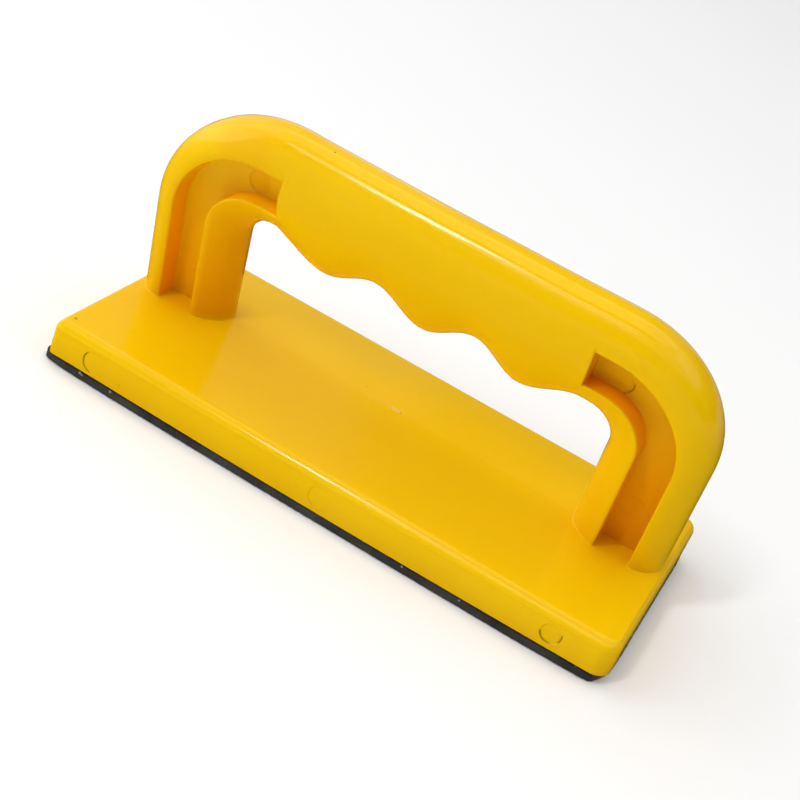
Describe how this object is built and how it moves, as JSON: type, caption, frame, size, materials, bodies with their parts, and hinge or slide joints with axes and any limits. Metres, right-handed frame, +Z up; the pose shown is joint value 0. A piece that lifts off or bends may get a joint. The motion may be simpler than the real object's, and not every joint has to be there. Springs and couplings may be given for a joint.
{
  "type": "hand sanding block",
  "caption": "Hand sanding block: an arched D-handle with finger grooves moulded in one piece with a thick rectangular base plate, and a soft foam working pad bonded underneath.",
  "frame": {"origin": "centre of the foam pad's working face, on the surface the block stands on", "axes": "+Z up from the working face; +X along the length of the base plate; the handle leans towards -Y"},
  "size_m": [0.167, 0.0726, 0.0802],
  "materials": {
    "yellow_moulding": "glossy as-moulded thermoplastic",
    "adhesive_film": "thin double-sided adhesive film",
    "black_foam": "matte closed-cell foam rubber"
  },
  "bodies": {
    "root": {"moulded_body": "yellow_moulding", "adhesive_sheet": "adhesive_film", "foam_pad": "black_foam"}
  },
  "joints": []
}
